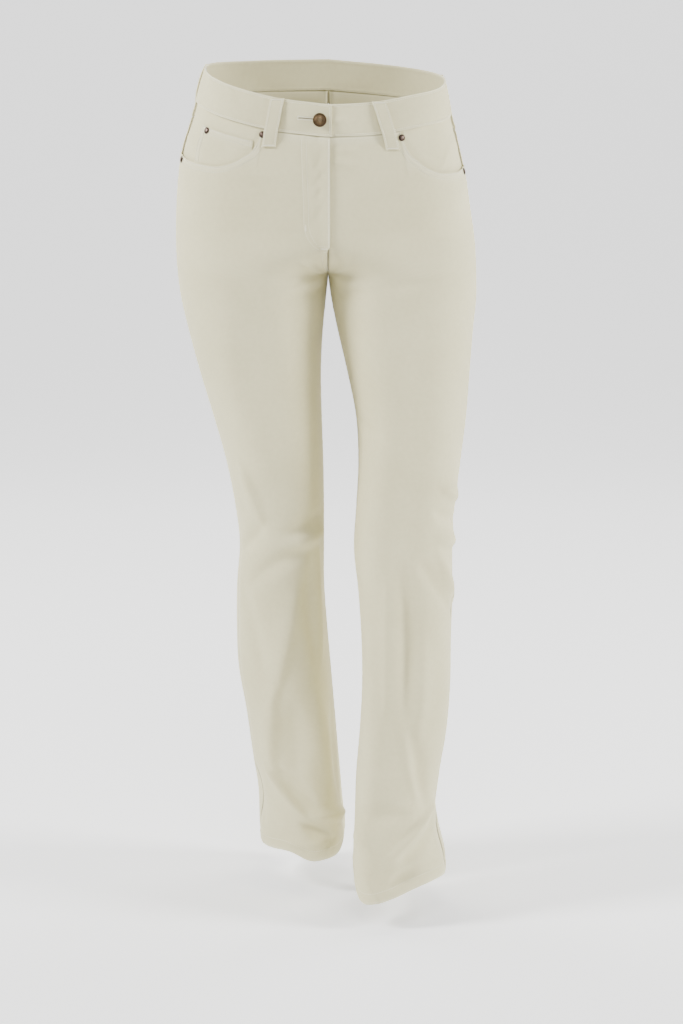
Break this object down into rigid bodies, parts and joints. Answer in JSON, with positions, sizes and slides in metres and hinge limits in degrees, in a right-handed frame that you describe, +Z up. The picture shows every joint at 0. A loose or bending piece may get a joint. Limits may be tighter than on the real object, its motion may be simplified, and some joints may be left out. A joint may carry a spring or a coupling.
{
  "type": "moleskin trousers",
  "caption": "Full-length bootcut trousers in pale moleskin, filled out as when worn with no wearer, with a waistband, belt loops, shank button, scooped front pockets and a back yoke.",
  "frame": {"origin": "middle of the waist's opening, near the height of the waistband's top edge at the sides, where a wearer holds the trousers up", "axes": "+Z up along the body, -Y out of the front, +X to the wearer's left"},
  "size_m": [0.4053, 0.3822, 1.0985],
  "materials": {
    "moleskin": "soft matte nap with a slight sheen, pale stone",
    "antique_brass": "antiqued, dark brown with a worn coppery middle",
    "antique_copper": "antiqued coppery brown"
  },
  "bodies": {
    "root": {"front_right": "moleskin", "front_left": "moleskin", "back_right": "moleskin", "back_left": "moleskin", "yoke_right": "moleskin", "yoke_left": "moleskin", "waistband": "moleskin", "belt_loop_front_right": "moleskin", "belt_loop_front_left": "moleskin", "belt_loop_side_right": "moleskin", "belt_loop_side_left": "moleskin", "belt_loop_back": "moleskin", "pocket_facing_right": "moleskin", "pocket_facing_left": "moleskin", "coin_pocket": "moleskin", "back_pocket_right": "moleskin", "back_pocket_left": "moleskin", "button": "antique_brass", "rivet_inner_right": "antique_copper", "rivet_side_right": "antique_copper", "rivet_inner_left": "antique_copper", "rivet_side_left": "antique_copper", "rivet_coin": "antique_copper"}
  },
  "joints": []
}
